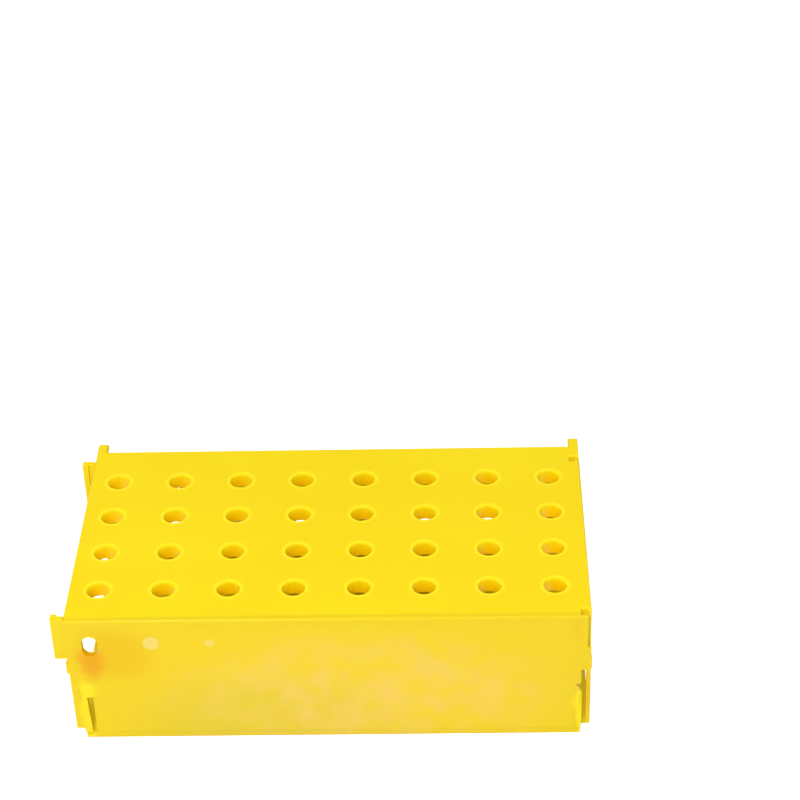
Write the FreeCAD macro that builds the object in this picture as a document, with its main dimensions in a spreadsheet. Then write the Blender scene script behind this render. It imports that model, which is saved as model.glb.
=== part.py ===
"""Four-way microcentrifuge tube rack: four moulded walls that snap together round an open-ended hollow.

The rack is centred on the origin in plan and stands on z = 0. Its length runs along X, its front is at -Y and
the wide wall with the small holes is on top. All sizes are in millimetres, in the spreadsheet "Sizes".
"""

import FreeCAD, Part
import os

import Sketcher

SIZES = (
    # the rack as a whole
    ("rack_length", 175.0),
    ("rack_depth", 95.0),
    ("rack_height", 52.0),
    ("plate_thickness", 2.3),  # the two wide walls
    ("web_thickness", 2.3),  # the two narrow walls
    ("corner_radius", 0.8),
    ("fit_clearance", 0.3),
    ("snug_clearance", 0.1),
    # how far the narrow walls stand in from the edges of the wide ones
    ("front_recess", 0.2),
    ("rear_recess", 4.8),
    # the grid of tube holes in both wide walls
    ("column_count", 8),
    ("row_count", 4),
    ("column_pitch", 21.9),
    ("row_pitch", 20.1),
    ("grid_shift_x", -0.7),
    ("grid_shift_y", -1.2),
    ("small_bore", 7.8),  # takes a 0.5 mL tube
    ("small_mouth", 8.4),
    ("small_mouth_depth", 0.3),
    ("small_collar_wall", 1.3),
    ("small_collar_height", 3.4),
    ("medium_bore", 11.0),  # takes a 1.5 mL or 2 mL tube
    ("medium_collar_wall", 1.3),
    ("medium_collar_height", 3.0),
    # the large holes in the rear wall
    ("large_bore", 30.0),  # takes a 50 mL tube
    ("large_collar_wall", 1.8),
    ("large_collar_height", 4.6),
    ("large_offset_inner", 23.4),
    ("large_offset_outer", 61.7),
    ("tie_rib_thickness", 1.8),
    # rails inside the wide walls, which the narrow walls stand against
    ("rail_thickness", 1.4),
    ("rail_height", 2.4),
    ("rail_end_gap", 9.0),
    # arms on the rear corners of the top wall, and the notches that take a neighbour's arms
    ("arm_width", 3.7),
    ("arm_length", 4.9),
    ("notch_width", 3.2),
    ("notch_depth", 4.8),
    ("web_corner_cut", 4.3),
    # the post at each end of a narrow wall, and the hook on the left one
    ("post_height", 22.0),
    ("hook_post", 2.2),
    ("hook_height", 17.4),
    ("hook_reach", 4.4),
    ("hook_head", 2.0),
    ("hook_depth", 3.8),
    ("hook_face_step", 1.2),
    ("hook_neck", 1.6),
    # the socket at the right end, which takes a neighbour's hook
    ("socket_post", 5.4),
    ("socket_back", 1.1),
    ("socket_step_height", 14.1),
    # the window near the left end of the front wall
    ("window_centre", 8.1),
    ("window_width", 5.2),
    ("window_drop", 7.1),
    ("window_height", 8.2),
    # snap ears on the bottom wall, and the openings of the narrow walls that they stand in
    ("ear_width", 2.2),
    ("ear_thickness", 2.0),
    ("left_ear_height", 24.3),
    ("ear_head_reach", 3.0),
    ("ear_head_height", 6.0),
    ("ear_gap", 2.0),
    ("right_ear_height", 22.1),
    ("right_ear_lead", 3.6),
    ("left_opening_inset", 2.6),
    ("right_opening_inset", 1.5),
    ("right_ear_gap", 1.3),
    ("right_slot_width", 1.6),
    ("right_slot_height", 28.3),
    # nubs on the ends of the narrow walls, which keep a hooked neighbour this far off
    ("nub_drop", 18.6),
    ("nub_height", 4.4),
    ("left_nub_reach", 0.8),
    ("right_nub_reach", 0.3),
)

doc = FreeCAD.newDocument("TubeRack")
sizes = doc.addObject("Spreadsheet::Sheet", "Sizes")
for row, (alias, value) in enumerate(SIZES, start=1):
    sizes.set(f"A{row}", alias)
    sizes.set(f"B{row}", str(value))
    sizes.setAlias(f"B{row}", alias)
doc.recompute()
ALIASES = {alias for alias, _ in SIZES}

# places that several walls share
LEFT, RIGHT = "( - rack_length / 2 )", "( rack_length / 2 )"
FRONT, REAR = "( - rack_depth / 2 )", "( rack_depth / 2 )"
PLATE_BASE = "( rack_height - plate_thickness )"
FIRST_COLUMN = "( grid_shift_x - column_pitch * ( column_count - 1 ) / 2 )"
FIRST_ROW = "( grid_shift_y - row_pitch * ( row_count - 1 ) / 2 )"


def in_cells(formula):
    """The formula with every alias written as a reference to its cell."""
    return " ".join(f"Sizes.{word}" if word in ALIASES else word for word in formula.split())


def value_of(formula):
    found = sizes.evalExpression(in_cells(formula))
    return float(getattr(found, "Value", found))


def new_body(label):
    body = doc.addObject("PartDesign::Body", label)
    body.Label = label
    return body


def new_sketch(body, name, role, height, shift_x="0"):
    """A sketch on one of the body's planes, moved along the plane's normal and along its first axis."""
    sketch = body.newObject("Sketcher::SketchObject", name)
    plane = next(f for f in body.Origin.OriginFeatures if f.Role == role)
    sketch.AttachmentSupport = [(plane, "")]
    sketch.MapMode = "FlatFace"
    sketch.setExpression(".AttachmentOffset.Base.z", in_cells(height))
    sketch.setExpression(".AttachmentOffset.Base.x", in_cells(shift_x))
    return sketch


def bind(sketch, kind, where, name, formula):
    """A dimension of the sketch, tied to the spreadsheet."""
    number = sketch.addConstraint(Sketcher.Constraint(kind, *where, value_of(formula)))
    sketch.renameConstraint(number, name)
    sketch.setExpression(f"Constraints.{name}", in_cells(formula))


def add_outline(sketch, name, corners):
    """A closed outline of straight lines through corners given as pairs of formulas."""
    first, count = sketch.GeometryCount, len(corners)
    points = [FreeCAD.Vector(value_of(x), value_of(y), 0) for x, y in corners]
    for i in range(count):
        sketch.addGeometry(Part.LineSegment(points[i], points[(i + 1) % count]))
    for i in range(count):
        sketch.addConstraint(Sketcher.Constraint("Coincident", first + i, 2, first + (i + 1) % count, 1))
    for i, (x, y) in enumerate(corners):
        bind(sketch, "DistanceX", (-1, 1, first + i, 1), f"{name}_x{i}", x)
        bind(sketch, "DistanceY", (-1, 1, first + i, 1), f"{name}_y{i}", y)


def add_box(sketch, name, left, right, low, high):
    add_outline(sketch, name, [(left, low), (right, low), (right, high), (left, high)])


def add_circle(sketch, name, x, y, diameter):
    centre = FreeCAD.Vector(value_of(x), value_of(y), 0)
    circle = sketch.addGeometry(Part.Circle(centre, FreeCAD.Vector(0, 0, 1), value_of(diameter) / 2))
    bind(sketch, "DistanceX", (-1, 1, circle, 3), f"{name}_x", x)
    bind(sketch, "DistanceY", (-1, 1, circle, 3), f"{name}_y", y)
    bind(sketch, "Diameter", (circle,), f"{name}_d", diameter)


def pad(body, sketch, length, backwards=False):
    """Material raised along the sketch's normal, or against it."""
    feature = body.newObject("PartDesign::Pad", f"{sketch.Name}_pad")
    feature.Profile = sketch
    feature.Reversed = backwards
    feature.setExpression("Length", in_cells(length))
    doc.recompute()
    return feature


def pocket(body, sketch, length, along=False):
    """A cut against the sketch's normal, or along it."""
    before = body.Shape.Volume
    feature = body.newObject("PartDesign::Pocket", f"{sketch.Name}_pocket")
    feature.Profile = sketch
    feature.Reversed = along
    feature.setExpression("Length", in_cells(length))
    doc.recompute()
    if body.Shape.Volume >= before:
        raise RuntimeError(f"{sketch.Name} removes nothing")


def round_plate_corners(body, plate):
    """Rounds the upright edges at the two ends of a wide wall."""
    box = plate.Shape.BoundBox
    corners = []
    for number, edge in enumerate(plate.Shape.Edges, start=1):
        span = edge.BoundBox
        upright = span.ZLength > 0.9 * box.ZLength
        at_end = min(span.XMin - box.XMin, box.XMax - span.XMax) < 1e-6
        if upright and at_end:
            corners.append(f"Edge{number}")
    fillet = body.newObject("PartDesign::Fillet", f"{plate.Name}_rounded")
    fillet.Base = (plate, corners)
    fillet.setExpression("Radius", in_cells("corner_radius"))
    doc.recompute()


class Side:
    """Where a narrow wall stands: its outer face, and the sign of the way into the rack."""

    def __init__(self, name, outer, inward):
        self.name, self.outer, self.inward = name, outer, inward

    def behind(self, depth):
        """The y at a depth behind the outer face."""
        return f"( {self.outer} {self.inward} ( {depth} ) )"


FRONT_SIDE = Side("front", f"( {FRONT} + front_recess )", "+")
REAR_SIDE = Side("rear", f"( {REAR} - rear_recess )", "-")
SIDES = (FRONT_SIDE, REAR_SIDE)

# the steps at the ends of the bottom wall, and the two ears that stand on them
LEFT_STEP, RIGHT_STEP = f"( {LEFT} + notch_width )", f"( {RIGHT} - notch_width )"
LEFT_EAR = f"( {LEFT} + left_opening_inset + snug_clearance )"
HEAD_FOOT = "( left_ear_height - ear_head_height )"
RIGHT_EAR = f"( {RIGHT} - right_opening_inset - right_ear_gap )"

# where a hooked neighbour's hook comes to lie, which sets the socket's channel and its lip
HOOK_FOOT = "( rack_height - hook_height )"
HOOK_TIP = f"( {RIGHT} + left_nub_reach + right_nub_reach - hook_reach )"
CHANNEL_LEFT = f"( {HOOK_TIP} - snug_clearance )"
CHANNEL_RIGHT = f"( {HOOK_TIP} + hook_head + snug_clearance )"
SKIN_DEPTH = "( hook_face_step - snug_clearance )"
LIP_DEPTH = "( hook_face_step + hook_neck + fit_clearance )"
CHANNEL_DEPTH = "( hook_depth + fit_clearance )"


def add_rails(body, height, backwards):
    """Rails along the inside of a wide wall, just behind each narrow wall."""
    rails = new_sketch(body, f"{body.Label}_rails", "XY_Plane", height)
    for side in SIDES:
        near = side.behind("web_thickness + fit_clearance")
        far = side.behind("web_thickness + fit_clearance + rail_thickness")
        add_box(rails, side.name, f"{LEFT} + rail_end_gap", f"{RIGHT} - rail_end_gap", near, far)
    pad(body, rails, "rail_height", backwards)


def add_tube_grid(body, outline, size, face, inward):
    """The tube holes of a wide wall, each with an eight-sided collar inside.

    face is the height of the wall's outer face, and inward is the sign of the way into the rack.
    """
    bore = f"{size}_bore / 2"
    half = f"( {bore} + {size}_collar_wall )"
    chamfer = f"0.41421 * {half}"
    inner = f"{face} {inward} plate_thickness"
    tip = f"{inner} {inward} {size}_collar_height"

    ring = new_sketch(body, f"{size}_collar", "XY_Plane", inner)
    flats = []
    for sx, sy in (("+", "+"), ("-", "+"), ("-", "-"), ("+", "-")):
        end = (f"{FIRST_COLUMN} {sx} {half}", f"{FIRST_ROW} {sy} {chamfer}")
        side = (f"{FIRST_COLUMN} {sx} {chamfer}", f"{FIRST_ROW} {sy} {half}")
        flats += [end, side] if sx == sy else [side, end]
    add_outline(ring, "flat", flats)
    raised = pad(body, ring, f"{size}_collar_height", backwards=inward == "-")

    hole = new_sketch(body, f"{size}_hole", "XZ_Plane", f"- {FIRST_ROW}", FIRST_COLUMN)
    past_tip, before_face = f"{tip} {inward} 1", f"{face} {inward} ( - 1 )"
    corners = [("0", past_tip), (bore, past_tip)]
    if size == "small":
        # only the small holes are flared, to guide a tube in
        corners.append((bore, f"{face} {inward} small_mouth_depth"))
        corners.append(("small_mouth / 2", face))
        corners.append(("small_mouth / 2", before_face))
    else:
        corners.append((bore, before_face))
    corners.append(("0", before_face))
    add_outline(hole, "hole", corners)
    cut = body.newObject("PartDesign::Groove", f"{size}_hole_cut")
    cut.Profile = hole
    cut.ReferenceAxis = (hole, ["V_Axis"])
    cut.Angle = 360
    doc.recompute()

    grid = body.newObject("PartDesign::MultiTransform", f"{size}_grid")
    grid.Originals = [raised, cut]
    runs = []
    for name, axis, pitch, count in (
        ("columns", "H_Axis", "column_pitch", "column_count"),
        ("rows", "V_Axis", "row_pitch", "row_count"),
    ):
        run = body.newObject("PartDesign::LinearPattern", f"{size}_{name}")
        run.Direction = (outline, [axis])
        run.setExpression("Length", in_cells(f"{pitch} * ( {count} - 1 )"))
        run.setExpression("Occurrences", in_cells(count))
        runs.append(run)
    grid.Transformations = runs
    body.Tip = grid
    doc.recompute()


def make_top_wall():
    """The wide wall with the small holes, with an arm at each rear corner and the tops of the sockets."""
    body = new_body("top_wall")
    outline = new_sketch(body, "top_outline", "XY_Plane", PLATE_BASE)
    arm_end = f"{REAR} + arm_length"
    corners = [
        (LEFT, FRONT),
        (RIGHT, FRONT),
        (RIGHT, arm_end),
        (f"{RIGHT} - arm_width", arm_end),
        (f"{RIGHT} - arm_width", REAR),
        (f"{LEFT} + arm_width", REAR),
        (f"{LEFT} + arm_width", arm_end),
        (LEFT, arm_end),
    ]
    add_outline(outline, "plate", corners)
    round_plate_corners(body, pad(body, outline, "plate_thickness"))
    add_rails(body, PLATE_BASE, backwards=True)
    add_tube_grid(body, outline, "small", "rack_height", "-")

    slots = new_sketch(body, "socket_slots", "XY_Plane", "rack_height")
    past_end = f"{RIGHT} + 1"
    for side in SIDES:
        back, skin, lip = side.behind(CHANNEL_DEPTH), side.behind(SKIN_DEPTH), side.behind(LIP_DEPTH)
        corners = [
            (CHANNEL_LEFT, back),
            (CHANNEL_LEFT, skin),
            (past_end, skin),
            (past_end, lip),
            (CHANNEL_RIGHT, lip),
            (CHANNEL_RIGHT, back),
        ]
        if side is FRONT_SIDE:
            # the front gate takes the corner off the wall
            corners[2:3] = [(CHANNEL_RIGHT, skin), (CHANNEL_RIGHT, f"{FRONT} - 1"), (past_end, f"{FRONT} - 1")]
        add_outline(slots, side.name, corners)
    pocket(body, slots, "plate_thickness")
    return body


def make_bottom_wall():
    """The wide wall with the medium holes, notched at its corners, with the ears that hold the rack shut."""
    body = new_body("bottom_wall")
    outline = new_sketch(body, "bottom_outline", "XY_Plane", "0")
    front_step, rear_step = f"{FRONT} + notch_depth", f"{REAR} - notch_depth"
    corners = [
        (LEFT_STEP, FRONT),
        (RIGHT_STEP, FRONT),
        (RIGHT_STEP, front_step),
        (RIGHT, front_step),
        (RIGHT, rear_step),
        (RIGHT_STEP, rear_step),
        (RIGHT_STEP, REAR),
        (LEFT_STEP, REAR),
        (LEFT_STEP, rear_step),
        (LEFT, rear_step),
        (LEFT, front_step),
        (LEFT_STEP, front_step),
    ]
    add_outline(outline, "plate", corners)
    round_plate_corners(body, pad(body, outline, "plate_thickness"))
    add_rails(body, "plate_thickness", backwards=False)
    add_tube_grid(body, outline, "medium", "0", "+")

    for side in SIDES:
        add_ears(body, side)
    return body


def add_ears(body, side):
    """Two upright ears: the left one ends in a head that hooks over its opening's ledge, and the
    right one has a sloped tip that leads it in. Both lean out from the steps of the wall."""
    ears = new_sketch(body, f"{side.name}_ears", "XZ_Plane", f"- {side.outer}")
    left_edge = f"{LEFT_EAR} + ear_width"
    head_edge = f"{left_edge} + ear_head_reach"
    corners = [
        (LEFT_STEP, "plate_thickness"),
        (f"{LEFT_STEP} + ear_width", "plate_thickness"),
        (left_edge, HEAD_FOOT),
        (head_edge, HEAD_FOOT),
        (head_edge, "left_ear_height"),
        (LEFT_EAR, "left_ear_height"),
        (LEFT_EAR, "web_corner_cut"),
    ]
    add_outline(ears, "left", corners)
    right_edge = f"{RIGHT_EAR} - ear_width"
    corners = [
        (RIGHT_STEP, "plate_thickness"),
        (RIGHT_EAR, "web_corner_cut"),
        (RIGHT_EAR, "right_ear_height - right_ear_lead"),
        (right_edge, "right_ear_height"),
        (right_edge, "plate_thickness"),
    ]
    add_outline(ears, "right", corners)
    pad(body, ears, "ear_thickness", backwards=side is FRONT_SIDE)


def make_narrow_wall(side):
    """A narrow wall with its hook, socket, nubs and the openings for the ears."""
    name = side.name
    body = new_body(f"{name}_wall")
    plane = f"- {side.outer}"
    into_rack = side is FRONT_SIDE

    outline = new_sketch(body, f"{name}_outline", "XZ_Plane", plane)
    corners = [
        (LEFT_STEP, "plate_thickness"),
        (RIGHT_STEP, "plate_thickness"),
        (RIGHT_STEP, "web_corner_cut"),
        (RIGHT, "web_corner_cut"),
        (RIGHT, PLATE_BASE),
        (LEFT, PLATE_BASE),
        (LEFT, "web_corner_cut"),
        (LEFT_STEP, "web_corner_cut"),
    ]
    add_outline(outline, "web", corners)
    pad(body, outline, "web_thickness", backwards=into_rack)

    nubs = new_sketch(body, f"{name}_nubs", "XZ_Plane", plane)
    for end, edge in (("left", LEFT), ("right", RIGHT)):
        reach = f"{end}_nub_reach"
        top = "rack_height - nub_drop"
        add_box(nubs, end, f"{edge} - {reach}", f"{edge} + {reach}", f"{top} - nub_height", top)
    pad(body, nubs, "web_thickness", backwards=into_rack)

    posts = new_sketch(body, f"{name}_posts", "XY_Plane", "rack_height - post_height")
    socket_back = side.behind(f"{CHANNEL_DEPTH} + socket_back")
    add_box(posts, "hook", LEFT, f"{LEFT} + hook_post", side.outer, side.behind("hook_depth"))
    add_box(posts, "socket", f"{RIGHT} - socket_post", RIGHT, side.outer, socket_back)
    pad(body, posts, "post_height - plate_thickness")

    # the hook's neck is flush with its head, so the hollow behind the neck faces into the rack
    hook = new_sketch(body, f"{name}_hook", "XY_Plane", HOOK_FOOT)
    head_left, head_right = f"{LEFT} - hook_reach", f"{LEFT} - hook_reach + hook_head"
    head_face, head_back = side.behind("hook_face_step"), side.behind("hook_depth")
    neck_back = side.behind("hook_face_step + hook_neck")
    corners = [
        (head_left, head_face),
        (LEFT, head_face),
        (LEFT, neck_back),
        (head_right, neck_back),
        (head_right, head_back),
        (head_left, head_back),
    ]
    add_outline(hook, "hook", corners)
    pad(body, hook, "hook_height")

    # the socket is a channel for a hook's head, with a gate for the hook's neck in front of its lip
    channel = new_sketch(body, f"{name}_channel", "XY_Plane", f"{HOOK_FOOT} - fit_clearance")
    past_end = f"{RIGHT} + 2"
    back, skin, lip = side.behind(CHANNEL_DEPTH), side.behind(SKIN_DEPTH), side.behind(LIP_DEPTH)
    corners = [
        (CHANNEL_LEFT, back),
        (CHANNEL_LEFT, skin),
        (past_end, skin),
        (past_end, lip),
        (CHANNEL_RIGHT, lip),
        (CHANNEL_RIGHT, back),
    ]
    add_outline(channel, "channel", corners)
    pocket(body, channel, "hook_height", along=True)
    step = new_sketch(body, f"{name}_step", "XY_Plane", "rack_height - socket_step_height")
    add_box(step, "step", CHANNEL_RIGHT, past_end, side.behind("- 1"), lip)
    pocket(body, step, "socket_step_height", along=True)

    openings = new_sketch(body, f"{name}_openings", "XZ_Plane", plane)
    left_edge, ear_edge = f"{LEFT} + left_opening_inset", f"{LEFT_EAR} + ear_width"
    ledge, head_edge = f"{HEAD_FOOT} - snug_clearance", f"{ear_edge} + ear_head_reach + snug_clearance"
    corners = [
        (left_edge, "0"),
        (f"{ear_edge} + ear_gap", "0"),
        (f"{ear_edge} + ear_gap", ledge),
        (head_edge, ledge),
        (head_edge, "left_ear_height + snug_clearance"),
        (left_edge, "left_ear_height + snug_clearance"),
    ]
    add_outline(openings, "left", corners)
    right_edge, ear_edge = f"{RIGHT} - right_opening_inset", f"{RIGHT_EAR} - ear_width - snug_clearance"
    corners = [
        (ear_edge, "0"),
        (right_edge, "0"),
        (right_edge, "right_slot_height"),
        (f"{right_edge} - right_slot_width", "right_slot_height"),
        (f"{right_edge} - right_slot_width", "right_ear_height + snug_clearance"),
        (ear_edge, "right_ear_height + snug_clearance"),
    ]
    add_outline(openings, "right", corners)
    pocket(body, openings, "web_thickness", along=not into_rack)
    return body


def add_window(body):
    """The tall round-ended window near the front wall's left end."""
    side = FRONT_SIDE
    middle = f"{LEFT} + window_centre"
    window = new_sketch(body, "window", "XZ_Plane", f"- {side.outer}")
    top = "rack_height - window_drop"
    low, high = f"{top} - window_height + window_width / 2", f"{top} - window_width / 2"
    add_box(window, "straight", f"{middle} - window_width / 2", f"{middle} + window_width / 2", low, high)
    pocket(body, window, "web_thickness")
    for name, height in (("window_bottom", low), ("window_top", high)):
        end = new_sketch(body, name, "XZ_Plane", f"- {side.outer}")
        add_circle(end, "end", middle, height, "window_width")
        pocket(body, end, "web_thickness")


def add_large_holes(body):
    """The four collared holes of the rear wall, and the ribs that tie each pair of collars."""
    side, level = REAR_SIDE, "rack_height / 2"
    places = (
        ("left_outer", "- large_offset_outer"),
        ("left_inner", "- large_offset_inner"),
        ("right_inner", "large_offset_inner"),
        ("right_outer", "large_offset_outer"),
    )
    ribs = new_sketch(body, "tie_ribs", "XZ_Plane", f"- {side.outer}")
    for name, sign in (("left", "-"), ("right", "0 +")):
        ends = (f"{sign} large_offset_inner", f"{sign} large_offset_outer")
        low, high = f"{level} - tie_rib_thickness / 2", f"{level} + tie_rib_thickness / 2"
        add_box(ribs, name, *ends, low, high)
    pad(body, ribs, "large_collar_height", backwards=True)
    collars = new_sketch(body, "large_collars", "XZ_Plane", f"- {side.outer}")
    for name, x in places:
        add_circle(collars, name, x, level, "large_bore + 2 * large_collar_wall")
    pad(body, collars, "large_collar_height", backwards=True)
    holes = new_sketch(body, "large_holes", "XZ_Plane", f"- {side.outer} - large_collar_height")
    for name, x in places:
        add_circle(holes, name, x, level, "large_bore")
    pocket(body, holes, "large_collar_height + web_thickness", along=True)


top_wall = make_top_wall()
bottom_wall = make_bottom_wall()
front_wall = make_narrow_wall(FRONT_SIDE)
add_window(front_wall)
rear_wall = make_narrow_wall(REAR_SIDE)
add_large_holes(rear_wall)
doc.recompute()

for thing in doc.Objects:
    if "Invalid" in thing.State or "Error" in thing.State:
        raise RuntimeError(f"{thing.Label}: {thing.State}")

os.makedirs("parts", exist_ok=True)
for body in (top_wall, bottom_wall, front_wall, rear_wall):
    shape = body.Shape
    if shape.isNull() or not shape.isValid() or len(shape.Solids) != 1:
        raise RuntimeError(f"{body.Label} isn't one sound solid")
    Part.export([body], f"parts/{body.Label}.step")
    print(f"{body.Label}: {shape.Volume / 1000:.2f} cm3")
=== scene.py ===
import math

import bmesh
import bpy
from mathutils import Matrix, Vector


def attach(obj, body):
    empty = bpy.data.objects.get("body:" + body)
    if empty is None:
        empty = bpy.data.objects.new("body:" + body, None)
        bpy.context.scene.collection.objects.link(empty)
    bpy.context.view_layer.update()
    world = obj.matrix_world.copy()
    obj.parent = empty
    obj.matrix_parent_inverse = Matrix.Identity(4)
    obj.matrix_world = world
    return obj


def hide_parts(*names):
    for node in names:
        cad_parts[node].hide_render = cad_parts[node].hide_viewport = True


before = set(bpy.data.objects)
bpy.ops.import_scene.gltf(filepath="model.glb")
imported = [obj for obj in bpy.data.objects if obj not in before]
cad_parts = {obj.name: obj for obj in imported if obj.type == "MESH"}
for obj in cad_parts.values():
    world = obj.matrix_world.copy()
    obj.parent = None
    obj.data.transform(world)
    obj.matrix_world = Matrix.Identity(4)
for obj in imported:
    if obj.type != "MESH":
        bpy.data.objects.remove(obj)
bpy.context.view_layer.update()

# ---------------------------------------------------------------------------------------------------------
# Top wall. A flat polypropylene moulding with 32 holes for 0.5 mL tubes, each with a round collar inside.
# It clips down over the narrow walls, and an arm at each rear corner reaches over a neighbouring rack.
# Its right edge is cut away where the two sockets come up through it.
# ---------------------------------------------------------------------------------------------------------
mm = 0.001
rack_length = 175 * mm
rack_depth = 95 * mm
rack_height = 52 * mm
wall_thickness = 2.3 * mm
eased_edge, slight_edge = 0.28 * mm, 0.06 * mm
corner_radius = 0.8 * mm
touching = 0.001 * mm

columns, rows = 8, 4
column_pitch, row_pitch = 21.9 * mm, 20.1 * mm
grid_middle = (-0.7 * mm, -1.2 * mm)
hole_sides = 48

small_bore_radius = 3.9 * mm
lip_reach = 0.45 * mm
small_collar_radius = 5.2 * mm
small_collar_height = 3.4 * mm

arm_width, arm_length = 3.7 * mm, 4.9 * mm
rail_thickness, rail_height = 1.4 * mm, 2.4 * mm
rail_end = rack_length / 2 - 9 * mm
sunk = 0.5 * mm
front_face = -rack_depth / 2 + 0.2 * mm
rear_face = rack_depth / 2 - 4.8 * mm
fit = 0.3 * mm

channel_left, channel_right = rack_length / 2 - 3.4 * mm, rack_length / 2 - 1.2 * mm
skin_depth, lip_depth, channel_depth = 1.1 * mm, 3.1 * mm, 4.1 * mm


def yellow_polypropylene():
    """Bright yellow plastic with a satin moulded skin. It lets a little light through, and more light and
    shade are painted
    into its colour: a painted glow, deeper where it is thick or backed, painted shade on the plain wall and
    along its foot, and painted light round and inside the small holes. It pales in cloudy patches low on the
    plain wall, where the melt ran cold."""
    plastic = bpy.data.materials.new("yellow polypropylene")
    plastic.use_nodes = True
    nodes, links = plastic.node_tree.nodes, plastic.node_tree.links
    shader = nodes["Principled BSDF"]
    shader.inputs["IOR"].default_value = 1.49
    shader.inputs["Specular IOR Level"].default_value = 0.25
    shader.inputs["Subsurface Weight"].default_value = 0.15
    shader.inputs["Subsurface Radius"].default_value = (1.0, 0.42, 0.03)
    shader.inputs["Subsurface Scale"].default_value = 3.5 * mm
    place = nodes.new("ShaderNodeTexCoord")

    def noise(scale, detail, roughness, stretch=(1, 1, 1)):
        """Cloudy variation. A stretch below one draws it out along that axis."""
        turn = nodes.new("ShaderNodeMapping")
        turn.inputs["Scale"].default_value = stretch
        grain = nodes.new("ShaderNodeTexNoise")
        grain.inputs["Scale"].default_value = scale
        grain.inputs["Detail"].default_value = detail
        grain.inputs["Roughness"].default_value = roughness
        links.new(place.outputs["Object"], turn.inputs["Vector"])
        links.new(turn.outputs["Vector"], grain.inputs["Vector"])
        return grain.outputs["Fac"]

    def spread(value, low, high, start=0.3, end=0.7):
        """Low up to the start and high from the end on, with an eased run between them."""
        fit_range = nodes.new("ShaderNodeMapRange")
        fit_range.interpolation_type = "SMOOTHSTEP"
        fit_range.inputs["From Min"].default_value = start
        fit_range.inputs["From Max"].default_value = end
        fit_range.inputs["To Min"].default_value = low
        fit_range.inputs["To Max"].default_value = high
        links.new(value, fit_range.inputs["Value"])
        return fit_range.outputs["Result"]

    # places moved a little one way and another along the wall, which leaves the edges of a patch uneven
    stray = (6 * mm, 0, 6 * mm)
    wander = nodes.new("ShaderNodeTexNoise")
    wander.inputs["Scale"].default_value = 110
    wander.inputs["Detail"].default_value = 3
    links.new(place.outputs["Object"], wander.inputs["Vector"])
    uneven = nodes.new("ShaderNodeVectorMath")
    uneven.operation = "MULTIPLY_ADD"
    uneven.inputs[1].default_value = stray
    links.new(wander.outputs["Color"], uneven.inputs[0])
    links.new(place.outputs["Object"], uneven.inputs[2])

    def patch(centre, reach, strength, core=0.3, sharp=False):
        """A rounded patch, strongest in its core and gone at its reach. Centre and reach are in mm."""
        away = nodes.new("ShaderNodeVectorMath")
        away.operation = "SUBTRACT"
        if sharp:
            links.new(place.outputs["Object"], away.inputs[0])
            away.inputs[1].default_value = [c * mm for c in centre]
        else:
            links.new(uneven.outputs["Vector"], away.inputs[0])
            # the noise is a half on average, so it moves every place by half of what it may
            away.inputs[1].default_value = [c * mm + most / 2 for c, most in zip(centre, stray)]
        scaled = nodes.new("ShaderNodeVectorMath")
        scaled.operation = "DIVIDE"
        links.new(away.outputs["Vector"], scaled.inputs[0])
        scaled.inputs[1].default_value = [r * mm for r in reach]
        far = nodes.new("ShaderNodeVectorMath")
        far.operation = "LENGTH"
        links.new(scaled.outputs["Vector"], far.inputs[0])
        return spread(far.outputs["Value"], strength, 0, start=core, end=1)

    def both(first, second):
        """As much as two amounts leave of each other."""
        product = nodes.new("ShaderNodeMath")
        product.operation = "MULTIPLY"
        links.new(first, product.inputs[0])
        links.new(second, product.inputs[1])
        return product.outputs["Value"]

    def tint(under, colour, amount):
        """A colour laid over the one under it by an amount."""
        mix = nodes.new("ShaderNodeMix")
        mix.data_type = "RGBA"
        mix.inputs["B"].default_value = (*colour, 1)
        if isinstance(under, bpy.types.NodeSocket):
            links.new(under, mix.inputs["A"])
        else:
            mix.inputs["A"].default_value = (*under, 1)
        links.new(amount, mix.inputs["Factor"])
        return mix.outputs["Result"]

    def near_small_holes(inside, outside, none_at, full_at):
        """Full within the inside radius of each small hole's middle, and nothing beyond the outside one.
        It grows from nothing to full between two heights. All four are in mm."""
        at = nodes.new("ShaderNodeSeparateXYZ")
        links.new(place.outputs["Object"], at.inputs["Vector"])
        aside = nodes.new("ShaderNodeCombineXYZ")
        for axis, pitch, middle, count in zip("XY", (column_pitch, row_pitch), grid_middle, (columns, rows)):
            from_first = nodes.new("ShaderNodeMath")
            from_first.operation = "SUBTRACT"
            from_first.inputs[1].default_value = middle - pitch * (count - 1) / 2
            nearest = nodes.new("ShaderNodeMath")
            nearest.operation = "PINGPONG"
            nearest.inputs[1].default_value = pitch / 2
            links.new(at.outputs[axis], from_first.inputs[0])
            links.new(from_first.outputs["Value"], nearest.inputs[0])
            links.new(nearest.outputs["Value"], aside.inputs[axis])
        away = nodes.new("ShaderNodeVectorMath")
        away.operation = "LENGTH"
        links.new(aside.outputs["Vector"], away.inputs[0])
        within = spread(away.outputs["Value"], 1, 0, start=inside * mm, end=outside * mm)
        # the pattern of distances runs on past the outermost rows, so it is cut off there
        from_middle = nodes.new("ShaderNodeMath")
        from_middle.operation = "ABSOLUTE"
        links.new(at.outputs["Y"], from_middle.inputs[0])
        past_rows = 38 * mm
        on_grid = both(
            spread(at.outputs["Z"], 0, 1, start=none_at * mm, end=full_at * mm),
            spread(from_middle.outputs["Value"], 1, 0, start=past_rows, end=past_rows + 0.2 * mm),
        )
        return both(within, on_grid)

    # the melt's flow, long along the rack, shows as a slight drift between two yellows
    flow = spread(noise(scale=28, detail=3, roughness=0.5, stretch=(0.5, 1, 1)), 0, 1)
    colour = tint((0.900, 0.668, 0.003), (0.915, 0.700, 0.005), flow)
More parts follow.
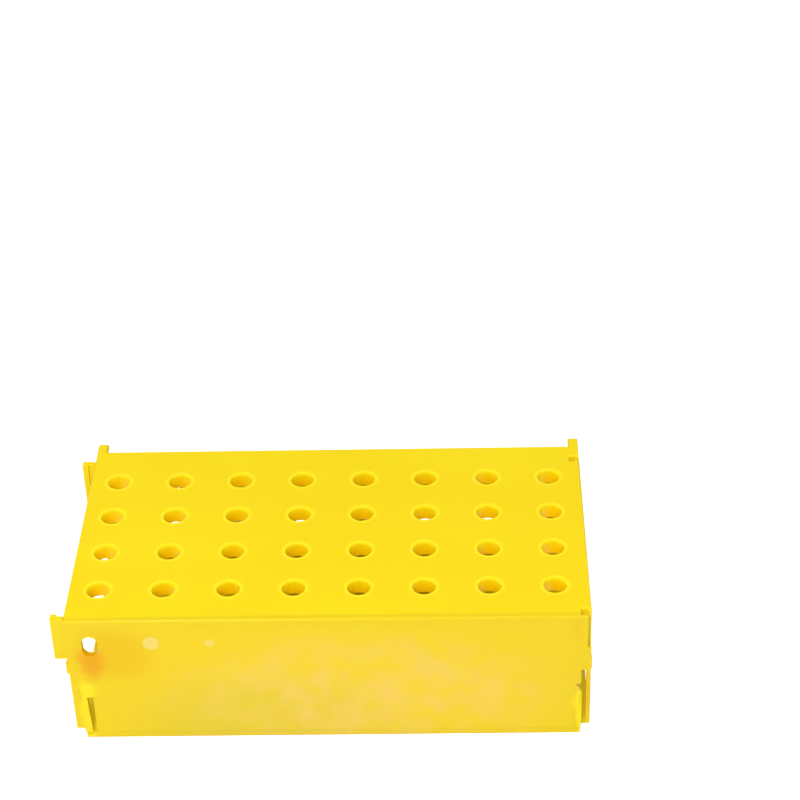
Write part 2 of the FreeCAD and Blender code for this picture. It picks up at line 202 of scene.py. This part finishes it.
    # painted shade: the plain wall is painted darker all over, and darker still low on the left;
    # it is also clouded low in the middle
    wall = front_face / mm
    colour = tint(colour, (0.795, 0.580, 0.007), patch((0, wall, 25), (200, 3, 70), 1, core=0.5))
    # painted shade low on the left of the plain wall
    colour = tint(colour, (0.690, 0.540, 0.028), patch((-22, wall, 8), (62, 4, 26), 0.75))
    blotches = spread(noise(scale=85, detail=4, roughness=0.55), 0.1, 1)
    cloud = both(blotches, patch((12, wall, 19), (82, 4, 32), 0.75))
    colour = tint(colour, (0.840, 0.570, 0.12), cloud)
    # painted glow and shade: a deeper orange, for light through the plastic and shade, round the window
    # and where the post, the hook and the socket back the wall
    for centre, reach, strength, green in (
        ((-72, wall, 37), (19, 2, 15), 0.8, 0.485),
        ((-79.4, wall, 34.0), (6.0, 2, 10), 1.0, 0.365),
        ((82.8, wall, 45.5), (2.6, 2, 6), 0.4, 0.485),
        ((86.5, wall + 3.3, 17), (3.0, 8, 18), 0.85, 0.43),
    ):
        colour = tint(colour, (0.77, green, 0.0), patch(centre, reach, strength))
    # painted light: the ears are painted brighter, as if light shone through them where they stand clear of
    # what is behind them
    for centre, reach in (
        ((-83.4, wall + 0.3, 10), (2.8, 2.6, 20)),
        ((-82.0, wall + 0.3, 22), (4.8, 2.6, 5.0)),
        ((83.4, wall + 0.3, 10), (2.1, 2.6, 14)),
    ):
        colour = tint(colour, (0.94, 0.74, 0.006), patch(centre, reach, 0.8))
    # painted shade: a thin dark line along the bottom edge, where the rack meets the floor
    bottom_edge_shade = patch((0, wall - 0.2, 0), (130, 2, 0.7), 0.8, core=0.5, sharp=True)
    colour = tint(colour, (0.75, 0.42, 0.03), bottom_edge_shade)
    # painted light: a pale ring round the mouths of the small holes,
    # and a deeper orange down inside them for light bounced about in the bores
    top_face = rack_height / mm
    painted_mouth_light = near_small_holes(inside=4.7, outside=5.5, none_at=top_face - 1.1, full_at=top_face - 0.9)
    painted_bore_light = near_small_holes(inside=3.95, outside=4.15, none_at=top_face - 0.5, full_at=top_face - 4.5)
    colour = tint(colour, (0.96, 0.78, 0.012), painted_mouth_light)
    colour = tint(colour, (1.0, 0.64, 0.0), painted_bore_light)
    # two pale round marks of the mould's pins
    for centre, radius, strength in (((-58.9, wall, 42), 3.0, 0.7), ((-39.4, wall, 41.9), 1.9, 0.45)):
        mark = patch(centre, (radius, 4, radius), strength, core=0.8, sharp=True)
        colour = tint(colour, (0.84, 0.655, 0.20), mark)
    links.new(colour, shader.inputs["Base Color"])

    # the skin is satin, rubbed a little smoother in places
    satin = spread(noise(scale=60, detail=4, roughness=0.6), low=0.30, high=0.44)
    links.new(satin, shader.inputs["Roughness"])
    fine = nodes.new("ShaderNodeBump")
    fine.inputs["Strength"].default_value = 0.12
    fine.inputs["Distance"].default_value = 0.05 * mm
    links.new(noise(scale=1800, detail=2, roughness=0.5), fine.inputs["Height"])
    soft = nodes.new("ShaderNodeBump")
    soft.inputs["Strength"].default_value = 0.10
    soft.inputs["Distance"].default_value = 0.4 * mm
    links.new(noise(scale=45, detail=2, roughness=0.4), soft.inputs["Height"])
    links.new(soft.outputs["Normal"], fine.inputs["Normal"])
    links.new(fine.outputs["Normal"], shader.inputs["Normal"])
    return plastic


def eased_outline(corners, reach):
    """The same outline or section with each inner corner cut to a small curve of three points."""
    points = [Vector(c) for c in corners]
    eased = [points[0]]
    for before, here, after in zip(points, points[1:], points[2:]):
        start = here + (before - here).normalized() * reach
        end = here + (after - here).normalized() * reach
        eased += [start, (start + end + 2 * here) / 4, end]
    return eased + [points[-1]]


def eased_prism(corners, low, high, rounded=(), ease=eased_edge, top_ease=None):
    """A straight moulding over an outline, between two heights, with eased edges and some corners round."""
    shape = bmesh.new()
    base = shape.faces.new([shape.verts.new((x, y, low)) for x, y in corners])
    raised = bmesh.ops.extrude_face_region(shape, geom=[base])["geom"]
    lifted = [v for v in raised if isinstance(v, bmesh.types.BMVert)]
    bmesh.ops.translate(shape, verts=lifted, vec=(0, 0, high - low))
    bmesh.ops.recalc_face_normals(shape, faces=shape.faces)
    for x, y in rounded:
        corner = Vector((x, y))
        upright = [e for e in shape.edges if all((v.co.xy - corner).length < touching for v in e.verts)]
        bmesh.ops.bevel(shape, geom=upright, offset=corner_radius, segments=4, profile=0.5, affect="EDGES")
    if rounded:
        for level, reach, segments in ((high, top_ease or ease, 3), (low, ease, 2)):
            around = [e for e in shape.edges if all(abs(v.co.z - level) < touching for v in e.verts)]
            bmesh.ops.bevel(shape, geom=around, offset=reach, segments=segments, profile=0.5, affect="EDGES")
    else:
        bmesh.ops.bevel(shape, geom=shape.edges[:], offset=ease, segments=2, profile=0.5, affect="EDGES")
    return shape


def turned_ring(section, sides):
    """A skin made by turning a section, given as radius and height, once round the z axis."""
    ring = bmesh.new()
    stations = []
    for step in range(sides):
        angle = 2 * math.pi * step / sides
        c, s = math.cos(angle), math.sin(angle)
        stations.append([ring.verts.new((r * c, r * s, z)) for r, z in section])
    for here, after in zip(stations, stations[1:] + stations[:1]):
        for i in range(len(section) - 1):
            ring.faces.new((here[i], here[i + 1], after[i + 1], after[i]))
    return ring


def as_object(name, shape):
    skin = bpy.data.meshes.new(name)
    shape.to_mesh(skin)
    shape.free()
    made = bpy.data.objects.new(name, skin)
    bpy.context.scene.collection.objects.link(made)
    return made


def perforated_wall_tree():
    """Geometry Nodes that close a wall's rim with two faces and set a collar at each hole of a grid."""
    tree = bpy.data.node_groups.new("perforated wall", "GeometryNodeTree")
    sockets = {}
    for name, kind in (
        ("Rim", "NodeSocketGeometry"),
        ("Collar", "NodeSocketObject"),
        ("Columns", "NodeSocketInt"),
        ("Rows", "NodeSocketInt"),
        ("Column Pitch", "NodeSocketFloat"),
        ("Row Pitch", "NodeSocketFloat"),
        ("Middle", "NodeSocketVector"),
        ("Sides", "NodeSocketInt"),
        ("Outer Height", "NodeSocketFloat"),
        ("Outer Radius", "NodeSocketFloat"),
        ("Inner Height", "NodeSocketFloat"),
        ("Inner Radius", "NodeSocketFloat"),
        ("Material", "NodeSocketMaterial"),
    ):
        sockets[name] = tree.interface.new_socket(name, in_out="INPUT", socket_type=kind)
    tree.interface.new_socket("Wall", in_out="OUTPUT", socket_type="NodeSocketGeometry")
    given = tree.nodes.new("NodeGroupInput")
    made = tree.nodes.new("NodeGroupOutput")

    def feed(socket, source):
        if isinstance(source, bpy.types.NodeSocket):
            tree.links.new(source, socket)
        else:
            socket.default_value = source

    def add(kind, **wires):
        node = tree.nodes.new(kind)
        for name, source in wires.items():
            feed(node.inputs[name.replace("_", " ")], source)
        return node

    def work_out(operation, first, second):
        node = add("ShaderNodeMath")
        node.operation = operation
        feed(node.inputs[0], first)
        feed(node.inputs[1], second)
        return node.outputs["Value"]

    def run_length(pitch, count):
        return work_out("MULTIPLY", given.outputs[pitch], work_out("SUBTRACT", given.outputs[count], 1))

    grid = add(
        "GeometryNodeMeshGrid",
        Size_X=run_length("Column Pitch", "Columns"),
        Size_Y=run_length("Row Pitch", "Rows"),
        Vertices_X=given.outputs["Columns"],
        Vertices_Y=given.outputs["Rows"],
    )
    centres = add(
        "GeometryNodeTransform", Geometry=grid.outputs["Mesh"], Translation=given.outputs["Middle"]
    )
    height = tree.nodes.new("ShaderNodeSeparateXYZ")
    tree.links.new(tree.nodes.new("GeometryNodeInputPosition").outputs[0], height.inputs[0])
    open_edge = tree.nodes.new("FunctionNodeCompare")
    open_edge.data_type = "INT"
    open_edge.operation = "EQUAL"
    neighbours = tree.nodes.new("GeometryNodeInputMeshEdgeNeighbors")
    int_sockets = [s for s in open_edge.inputs if s.type == "INT"]
    tree.links.new(neighbours.outputs["Face Count"], int_sockets[0])
    int_sockets[1].default_value = 1

    skins = [given.outputs["Rim"]]
    for end in ("Outer", "Inner"):
        level = given.outputs[f"{end} Height"]
        away = work_out("ABSOLUTE", work_out("SUBTRACT", height.outputs["Z"], level), 0)
        near = work_out("LESS_THAN", away, 10 * touching)
        here = tree.nodes.new("FunctionNodeBooleanMath")
        here.operation = "AND"
        tree.links.new(open_edge.outputs["Result"], here.inputs[0])
        tree.links.new(near, here.inputs[1])
        border = add("GeometryNodeMeshToCurve", Mesh=given.outputs["Rim"], Selection=here.outputs[0])
        circle = add(
            "GeometryNodeCurvePrimitiveCircle",
            Resolution=given.outputs["Sides"],
            Radius=given.outputs[f"{end} Radius"],
        )
        circles = add(
            "GeometryNodeInstanceOnPoints",
            Points=centres.outputs["Geometry"],
            Instance=circle.outputs["Curve"],
        )
        loose = add("GeometryNodeRealizeInstances", Geometry=circles.outputs["Instances"])
        lines = tree.nodes.new("GeometryNodeJoinGeometry")
        tree.links.new(border.outputs["Curve"], lines.inputs[0])
        tree.links.new(loose.outputs["Geometry"], lines.inputs[0])
        face = add("GeometryNodeFillCurve", Curve=lines.outputs["Geometry"])
        lift = tree.nodes.new("ShaderNodeCombineXYZ")
        tree.links.new(level, lift.inputs["Z"])
        placed = add(
            "GeometryNodeTransform", Geometry=face.outputs["Mesh"], Translation=lift.outputs["Vector"]
        )
        skins.append(placed.outputs["Geometry"])

    collar = add("GeometryNodeObjectInfo", Object=given.outputs["Collar"])
    collars = add(
        "GeometryNodeInstanceOnPoints",
        Points=centres.outputs["Geometry"],
        Instance=collar.outputs["Geometry"],
    )
    skins.append(collars.outputs["Instances"])
    whole = tree.nodes.new("GeometryNodeJoinGeometry")
    for skin in skins:
        tree.links.new(skin, whole.inputs[0])
    real = add("GeometryNodeRealizeInstances", Geometry=whole.outputs["Geometry"])
    painted = add(
        "GeometryNodeSetMaterial", Geometry=real.outputs["Geometry"], Material=given.outputs["Material"]
    )
    tree.links.new(painted.outputs["Geometry"], made.inputs["Wall"])
    return tree, {name: socket.identifier for name, socket in sockets.items()}


def finish_skin(piece):
    """Closes the seams, turns the faces outwards, and leaves only the curved faces smooth."""
    shape = bmesh.new()
    shape.from_mesh(piece.data)
    bmesh.ops.remove_doubles(shape, verts=shape.verts, dist=touching)
    bmesh.ops.recalc_face_normals(shape, faces=shape.faces)
    for face in shape.faces:
        face.material_index = 0
    shape.to_mesh(piece.data)
    shape.free()
    crease = math.radians(40)
    piece.data.set_sharp_from_angle(angle=crease)
    square_on = 0.9999
    for face in piece.data.polygons:
        face.use_smooth = max(abs(c) for c in face.normal) < square_on


def perforated_wall(name, outline, rounded, outer, inner, section, outer_radius, inner_radius, top_ease):
    """A wide wall: its rim from the outline, then its two faces and its collars by Geometry Nodes."""
    low, high = sorted((outer, inner))
    rim = eased_prism(outline, low, high, rounded=rounded, ease=slight_edge, top_ease=top_ease)
    # the two faces with all of the outline's corners give way to the ones with holes
    level, many_corners = 0.999, 8
    caps = [f for f in rim.faces if abs(f.normal.z) > level and len(f.verts) > many_corners]
    bmesh.ops.delete(rim, geom=caps, context="FACES_ONLY")
    wall = as_object(name, rim)
    collar = as_object(name + "_collar", turned_ring(section, hole_sides))
    grow = wall.modifiers.new("holes", "NODES")
    grow.node_group = wall_tree
    for socket, value in (
        ("Collar", collar),
        ("Columns", columns),
        ("Rows", rows),
        ("Column Pitch", column_pitch),
        ("Row Pitch", row_pitch),
        ("Middle", (*grid_middle, 0)),
        ("Sides", hole_sides),
        ("Outer Height", outer),
        ("Outer Radius", outer_radius),
        ("Inner Height", inner),
        ("Inner Radius", inner_radius),
        ("Material", yellow),
    ):
        grow[wall_inputs[socket]] = value
    ready = wall.evaluated_get(bpy.context.evaluated_depsgraph_get())
    plain = bpy.data.meshes.new_from_object(ready)
    wall.modifiers.clear()
    wall.data = plain
    # the rim came without a material, so the wall is left with the one slot that its faces and holes use
    plain.materials.clear()
    plain.materials.append(yellow)
    bpy.data.objects.remove(collar)
    return wall


def add_shapes(piece, shapes):
    """Joins further mouldings, such as rails and ears, to a wall."""
    whole = bmesh.new()
    whole.from_mesh(piece.data)
    for shape in shapes:
        part = bpy.data.meshes.new("part")
        shape.to_mesh(part)
        shape.free()
        whole.from_mesh(part)
        bpy.data.meshes.remove(part)
    whole.to_mesh(piece.data)
    whole.free()


def box_outline(x0, x1, y0, y1):
    return [(x0, y0), (x1, y0), (x1, y1), (x0, y1)]


def rails(low, high):
    """The two rails inside a wide wall that the narrow walls stand against."""
    made = []
    for face, inward in ((front_face, 1), (rear_face, -1)):
        near = face + inward * (wall_thickness + fit)
        far = near + inward * rail_thickness
        y0, y1 = sorted((near, far))
        made.append(eased_prism(box_outline(-rail_end, rail_end, y0, y1), low, high))
    return made


yellow = yellow_polypropylene()
wall_tree, wall_inputs = perforated_wall_tree()
left, right = -rack_length / 2, rack_length / 2
front, rear = -rack_depth / 2, rack_depth / 2
ceiling = rack_height - wall_thickness
collar_tip = ceiling - small_collar_height
small_section = eased_outline(
    [
        (small_bore_radius + lip_reach, rack_height),
        (small_bore_radius, rack_height),
        (small_bore_radius, collar_tip),
        (small_collar_radius, collar_tip),
        (small_collar_radius, ceiling),
    ],
    eased_edge,
)
top_outline = [
    (left, front),
    (channel_right, front),
    (channel_right, front_face + skin_depth),
    (channel_left, front_face + skin_depth),
    (channel_left, front_face + channel_depth),
    (channel_right, front_face + channel_depth),
    (channel_right, front_face + lip_depth),
    (right, front_face + lip_depth),
    (right, rear_face - lip_depth),
    (channel_right, rear_face - lip_depth),
    (channel_right, rear_face - channel_depth),
    (channel_left, rear_face - channel_depth),
    (channel_left, rear_face - skin_depth),
    (right, rear_face - skin_depth),
    (right, rear + arm_length),
    (right - arm_width, rear + arm_length),
    (right - arm_width, rear),
    (left + arm_width, rear),
    (left + arm_width, rear + arm_length),
    (left, rear + arm_length),
]
top = perforated_wall(
    "small_hole_wall",
    top_outline,
    rounded=[(left, front), (left, rear + arm_length), (right, rear + arm_length)],
    outer=rack_height,
    inner=ceiling,
    section=small_section,
    outer_radius=small_bore_radius + lip_reach,
    inner_radius=small_collar_radius,
    top_ease=0.7 * mm,
)
add_shapes(top, rails(ceiling - rail_height, ceiling + sunk))
finish_skin(top)
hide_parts("top_wall")
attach(top, "root")

# ---------------------------------------------------------------------------------------------------------
# Bottom wall. The same moulding with 32 wider holes for 1.5 mL and 2 mL tubes and longer collars, notched at
# its corners for a neighbour's arms. Four upright ears of the same polypropylene spring into openings in the
# narrow walls and hold the rack shut.
# ---------------------------------------------------------------------------------------------------------
medium_bore_radius = 5.5 * mm
medium_collar_radius = 6.8 * mm
medium_collar_height = 3.0 * mm
notch_width, notch_depth = 3.2 * mm, 4.8 * mm
ear_width, right_ear_width, ear_thickness = 2.2 * mm, 2.3 * mm, 2.0 * mm
left_ear_top, head_foot, head_reach = 24.4 * mm, 18.2 * mm, 3.2 * mm
right_ear_top, right_ear_shoulder = 22.2 * mm, 18.5 * mm
left_ear_edge, right_ear_edge = left + 2.6 * mm, right - 2.8 * mm
lean_height = 4.3 * mm

medium_tip = wall_thickness + medium_collar_height
medium_section = eased_outline(
    [
        (medium_bore_radius + lip_reach, 0),
        (medium_bore_radius, 0),
        (medium_bore_radius, medium_tip),
        (medium_collar_radius, medium_tip),
        (medium_collar_radius, wall_thickness),
    ],
    eased_edge,
)
bottom_outline = [
    (left + notch_width, front_face),
    (right - notch_width, front_face),
    (right - notch_width, front + notch_depth),
    (right, front + notch_depth),
    (right, rear - notch_depth),
    (right - notch_width, rear - notch_depth),
    (right - notch_width, rear),
    (left + notch_width, rear),
    (left + notch_width, rear - notch_depth),
    (left, rear - notch_depth),
    (left, front + notch_depth),
    (left + notch_width, front + notch_depth),
]
bottom = perforated_wall(
    "medium_hole_wall",
    bottom_outline,
    rounded=[(x, y) for x in (left, right) for y in (front + notch_depth, rear - notch_depth)],
    outer=0.0,
    inner=wall_thickness,
    section=medium_section,
    outer_radius=medium_bore_radius + lip_reach,
    inner_radius=medium_collar_radius,
    top_ease=slight_edge,
)
foot = wall_thickness - sunk
left_foot, right_foot = left + notch_width, right - notch_width
left_ear_outline = [
    (left_foot, foot),
    (left_foot + ear_width, foot),
    (left_ear_edge + ear_width, head_foot),
    (left_ear_edge + ear_width + head_reach, head_foot),
    (left_ear_edge + ear_width + head_reach, left_ear_top),
    (left_ear_edge, left_ear_top),
    (left_ear_edge, lean_height),
]
right_ear_outline = [
    (right_foot, foot),
    (right_ear_edge, lean_height),
    (right_ear_edge, right_ear_shoulder),
    (right_ear_edge - right_ear_width, right_ear_top),
    (right_ear_edge - right_ear_width, foot),
]
stand_up = Matrix.Rotation(math.radians(90), 4, "X")
ears = []
for face, inward in ((front_face, 1), (rear_face, -1)):
    y0, y1 = sorted((face, face + inward * ear_thickness))
    for outline in (left_ear_outline, right_ear_outline):
        ear = eased_prism(outline, -y1, -y0, ease=slight_edge)
        bmesh.ops.transform(ear, matrix=stand_up, verts=ear.verts)
        ears.append(ear)
add_shapes(bottom, rails(foot, wall_thickness + rail_height) + ears)
finish_skin(bottom)
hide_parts("bottom_wall")
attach(bottom, "root")

# ---------------------------------------------------------------------------------------------------------
# Front wall. A plain narrow wall of the same polypropylene, with a hook at its left end, a socket at its
# right end, a tall window beside the hook, and openings at its feet for the ears.
# ---------------------------------------------------------------------------------------------------------


def moulded_wall(node, name):
    """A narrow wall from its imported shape, as one closed skin with every sharp edge eased."""
    shape = bmesh.new()
    shape.from_mesh(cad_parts[node].data)
    bmesh.ops.remove_doubles(shape, verts=shape.verts, dist=touching)
    flat_angle, sharp_angle = math.radians(0.5), math.radians(35)
    bmesh.ops.dissolve_limit(
        shape,
        angle_limit=flat_angle,
        verts=shape.verts,
        edges=shape.edges,
        use_dissolve_boundaries=False,
    )
    bmesh.ops.recalc_face_normals(shape, faces=shape.faces)
    sharp = [e for e in shape.edges if e.is_manifold and e.calc_face_angle() > sharp_angle]
    bmesh.ops.bevel(
        shape, geom=sharp, offset=slight_edge, segments=2, profile=0.5, affect="EDGES", clamp_overlap=True
    )
    wall = as_object(name, shape)
    wall.data.materials.append(yellow)
    finish_skin(wall)
    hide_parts(node)
    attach(wall, "root")


moulded_wall("front_wall", "plain_wall")

# ---------------------------------------------------------------------------------------------------------
# Rear wall. A narrow wall with four large holes for 50 mL tubes. Their collars stand out towards the back,
# tied in pairs by a short rib, and its ends hook and lock as the front wall's do.
# ---------------------------------------------------------------------------------------------------------
moulded_wall("rear_wall", "large_hole_wall")

# ---------------------------------------------------------------------------------------------------------
# Studio. A plain white floor in white surroundings, a soft lamp in front that shines into the holes, and a
# weaker one at each side.
# ---------------------------------------------------------------------------------------------------------
scene = bpy.context.scene
scene.view_settings.view_transform = "Standard"


def white_floor(floor_reach, camera_lift):
    """A sheet of paper on all sides of the rack, lifted to white for the camera alone."""
    paper = bpy.data.materials.new("white paper")
    paper.use_nodes = True
    nodes, links = paper.node_tree.nodes, paper.node_tree.links
    shader = nodes["Principled BSDF"]
    shader.inputs["Base Color"].default_value = (0.86, 0.86, 0.86, 1)
    shader.inputs["Roughness"].default_value = 0.9
    shader.inputs["Specular IOR Level"].default_value = 0.1
    shader.inputs["Emission Color"].default_value = (1, 1, 1, 1)
    seen = nodes.new("ShaderNodeLightPath")
    lift = nodes.new("ShaderNodeMath")
    lift.operation = "MULTIPLY"
    lift.inputs[1].default_value = camera_lift
    links.new(seen.outputs["Is Camera Ray"], lift.inputs[0])
    links.new(lift.outputs["Value"], shader.inputs["Emission Strength"])
    sheet = bmesh.new()
    bmesh.ops.create_grid(sheet, x_segments=1, y_segments=1, size=floor_reach)
    floor = as_object("floor", sheet)
    floor.data.materials.append(paper)


def soft_lamp(name, place, aim, width, power):
    """A round lamp at a place, aimed at a point. Places and width are in metres, and power is in watts."""
    lamp = bpy.data.lights.new(name, "AREA")
    lamp.shape = "DISK"
    lamp.size = width
    lamp.energy = power
    made = bpy.data.objects.new(name, lamp)
    made.location = place
    made.rotation_euler = (Vector(aim) - Vector(place)).to_track_quat("-Z", "Y").to_euler()
    scene.collection.objects.link(made)


white_floor(floor_reach=6, camera_lift=0.68)
soft_lamp("key lamp", place=(-0.14, -0.88, 0.98), aim=(0, 0, 0.02), width=0.5, power=12.4)
soft_lamp("left lamp", place=(-1.0, 0.1, 0.72), aim=(0, 0, 0.03), width=0.6, power=3.3)
soft_lamp("right lamp", place=(1.0, 0.1, 0.72), aim=(0, 0, 0.03), width=0.6, power=3.3)

world = bpy.data.worlds.new("studio")
scene.world = world
world.use_nodes = True
background = world.node_tree.nodes["Background"]
background.inputs["Color"].default_value = (1, 1, 1, 1)
# the surroundings are white to the camera, and light the rack at about a third of that
path = world.node_tree.nodes.new("ShaderNodeLightPath")
level = world.node_tree.nodes.new("ShaderNodeMapRange")
level.inputs["To Min"].default_value = 0.35
level.inputs["To Max"].default_value = 1.0
world.node_tree.links.new(path.outputs["Is Camera Ray"], level.inputs["Value"])
world.node_tree.links.new(level.outputs["Result"], background.inputs["Strength"])

# ---------------------------------------------------------------------------------------------------------
# Camera. It stands 0.8 m away, a little to the right of the rack, and looks down on its front and top
# through a long lens.
# ---------------------------------------------------------------------------------------------------------
camera_place = Vector((46.1, -616.9, 536.6)) * mm
look_down = math.radians(34.88)
turn_left = math.radians(1.95)
roll = math.radians(1.91)
lens = bpy.data.cameras.new("camera")
lens.sensor_width = 36
lens.lens = 101.9
camera = bpy.data.objects.new("camera", lens)
facing = Matrix.Rotation(turn_left, 3, "Z") @ Matrix.Rotation(math.radians(90) - look_down, 3, "X")
camera.rotation_euler = (facing @ Matrix.Rotation(-roll, 3, "Z")).to_euler()
camera.location = camera_place
scene.collection.objects.link(camera)
scene.camera = camera
